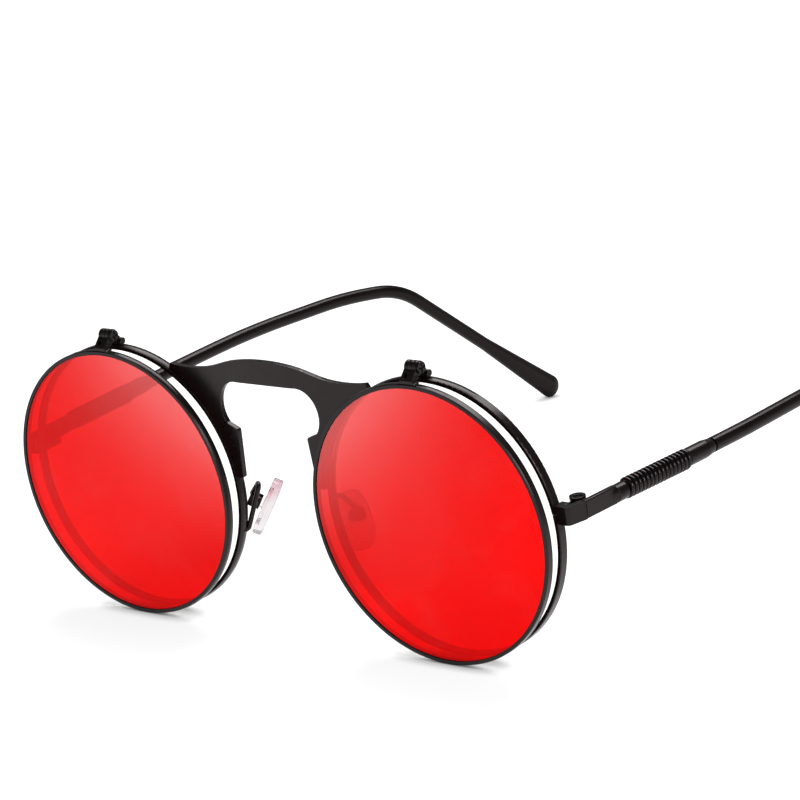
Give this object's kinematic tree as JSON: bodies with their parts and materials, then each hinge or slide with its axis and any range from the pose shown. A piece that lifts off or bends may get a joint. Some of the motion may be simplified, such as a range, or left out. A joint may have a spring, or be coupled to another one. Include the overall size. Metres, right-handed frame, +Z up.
{
  "type": "flip up sunglasses",
  "caption": "Round metal spectacles with clear lenses, mirrored lenses in thin rims that flip up on hinges, a flat stamped bridge and temples with a coil spring behind the hinge.",
  "frame": {"origin": "on the table, under the middle of the object as it stands on its flip rims and temple tips", "axes": "+X to the wearer's left, +Y backwards along the temples, +Z up"},
  "size_m": [0.136, 0.1546, 0.0533],
  "materials": {
    "black_metal": "satin",
    "spring_wire": "satin",
    "screw_steel": "satin",
    "red_mirror": "mirrored",
    "clear_glass": "clear",
    "clear_silicone": "clear",
    "pad_core": "gloss",
    "black_plastic": "satin"
  },
  "bodies": {
    "front": {"bridge": "black_metal", "eyewire_left": "black_metal", "eyewire_right": "black_metal", "rim_screw_left": "screw_steel", "rim_screw_right": "screw_steel", "clear_lens_left": "clear_glass", "clear_lens_right": "clear_glass", "endpiece_left": "black_metal", "endpiece_right": "black_metal", "hinge_screw_left": "screw_steel", "hinge_screw_right": "screw_steel", "flip_leaf_left": "black_metal", "flip_leaf_right": "black_metal", "pad_arm_left": "black_metal", "pad_arm_right": "black_metal", "pad_box_left": "black_metal", "pad_box_right": "black_metal", "pad_screw_left": "screw_steel", "pad_screw_right": "screw_steel"},
    "flip_left": {"flip_rim_left": "black_metal", "flip_lens_left": "red_mirror", "flip_bracket_left": "black_metal", "flip_screw_left": "screw_steel"},
    "pad_left": {"nose_pad_left": "clear_silicone", "pad_insert_left": "pad_core"},
    "temple_left": {"temple_bar_left": "black_metal", "temple_spring_left": "spring_wire", "temple_barrel_left": "black_metal", "temple_tip_left": "black_plastic"},
    "flip_right": {"flip_rim_right": "black_metal", "flip_lens_right": "red_mirror", "flip_bracket_right": "black_metal", "flip_screw_right": "screw_steel"},
    "pad_right": {"nose_pad_right": "clear_silicone", "pad_insert_right": "pad_core"},
    "temple_right": {"temple_bar_right": "black_metal", "temple_spring_right": "spring_wire", "temple_barrel_right": "black_metal", "temple_tip_right": "black_plastic"}
  },
  "joints": [
    {"name": "flip_left", "type": "hinge", "parent": "front", "child": "flip_left", "pos_m": [0.03525, -0.07471, 0.05219], "axis": [-1, 0, 0], "range_deg": [0, 90]},
    {"name": "fold_left", "type": "hinge", "parent": "front", "child": "temple_left", "pos_m": [0.0606, -0.0667, 0.02897], "axis": [0, -0.0773, 0.997], "range_deg": [0, 90]},
    {"name": "pad_rock_left", "type": "hinge", "parent": "front", "child": "pad_left", "pos_m": [0.01185, -0.06612, 0.02171], "axis": [-0.5446, -0.8358, -0.0698], "range_deg": [-5, 5]},
    {"name": "flip_right", "type": "hinge", "parent": "front", "child": "flip_right", "pos_m": [-0.03525, -0.07471, 0.05219], "axis": [-1, 0, 0], "range_deg": [0, 90]},
    {"name": "fold_right", "type": "hinge", "parent": "front", "child": "temple_right", "pos_m": [-0.0606, -0.0667, 0.02897], "axis": [0, 0.0773, -0.997], "range_deg": [0, 84]},
    {"name": "pad_rock_right", "type": "hinge", "parent": "front", "child": "pad_right", "pos_m": [-0.01185, -0.06612, 0.02171], "axis": [0.5446, -0.8358, -0.0698], "range_deg": [-5, 5]}
  ]
}
